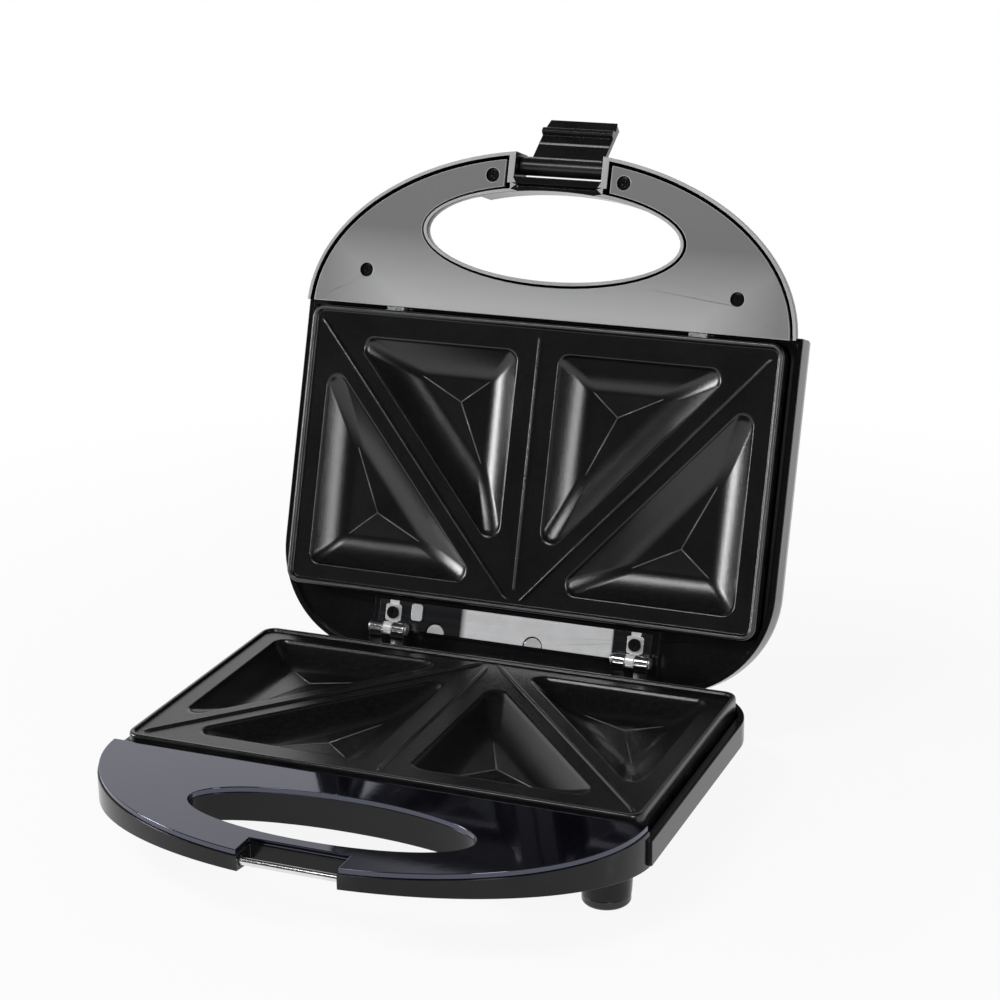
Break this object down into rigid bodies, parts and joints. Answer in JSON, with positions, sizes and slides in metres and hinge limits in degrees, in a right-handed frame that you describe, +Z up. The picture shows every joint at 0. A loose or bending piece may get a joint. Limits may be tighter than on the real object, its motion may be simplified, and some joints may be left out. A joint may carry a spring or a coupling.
{
  "type": "sandwich toaster",
  "caption": "Hinged countertop sandwich toaster standing open: two housings with crescent handles, pocketed non-stick plates, a latch flap and a catch rod.",
  "frame": {"origin": "middle of the standing toaster's footprint box, on the surface it stands on", "axes": "+X to the right, +Y from the handles towards the hinge, +Z up"},
  "size_m": [0.229, 0.3172, 0.2539],
  "materials": {
    "black_moulding": "glossy black moulded plastic",
    "handle_gloss": "high-gloss black cover with a cool sheen",
    "cover_grey": "satin warm-grey cover",
    "nonstick": "satin black non-stick coating on cast aluminium",
    "bright_steel": "polished steel",
    "zinc_steel": "zinc-plated sheet steel",
    "dark_steel": "blackened screws",
    "element_sheath": "heat-tinted tubular heater",
    "tray_metal": "aluminised sheet",
    "rubber_black": "black rubber",
    "insulator": "heat-proof insulator",
    "lens_red": "clear red lens",
    "lens_green": "clear green lens",
    "lamp_glass": "small glass lamps",
    "latch_black": "black moulded latch"
  },
  "bodies": {
    "base": {"lower_housing": "black_moulding", "lower_handle_cover": "handle_gloss", "catch_rod": "bright_steel", "lower_plate": "nonstick", "lower_element": "element_sheath", "lower_reflector": "tray_metal", "lower_plate_screws": "zinc_steel", "lower_cover_screws": "dark_steel", "front_feet": "rubber_black", "rear_feet": "rubber_black", "hinge_brackets": "bright_steel", "bracket_screws": "zinc_steel", "hinge_pins": "zinc_steel", "terminal_block": "insulator", "thermal_fuse": "insulator", "cord_gland": "rubber_black"},
    "lid": {"upper_housing": "black_moulding", "upper_handle_cover": "cover_grey", "cover_screws": "dark_steel", "upper_plate": "nonstick", "plate_tabs": "zinc_steel", "upper_element": "element_sheath", "upper_reflector": "tray_metal", "upper_plate_screws": "zinc_steel", "rear_ledge": "black_moulding", "hinge_strap": "bright_steel", "strap_screws": "dark_steel", "thermostat": "insulator", "power_lens": "lens_red", "ready_lens": "lens_green", "indicator_lamps": "lamp_glass", "latch_pin": "zinc_steel"},
    "latch": {"latch": "latch_black"}
  },
  "joints": [
    {"name": "lid_hinge", "type": "hinge", "parent": "base", "child": "lid", "pos_m": [0, 0.0545, 0.0427], "axis": [1, 0, 0], "range_deg": [0, 108]},
    {"name": "latch_pivot", "type": "hinge", "parent": "lid", "child": "latch", "pos_m": [0, 0.12756, 0.23746], "axis": [1, 0, 0], "range_deg": [0, 113]}
  ]
}
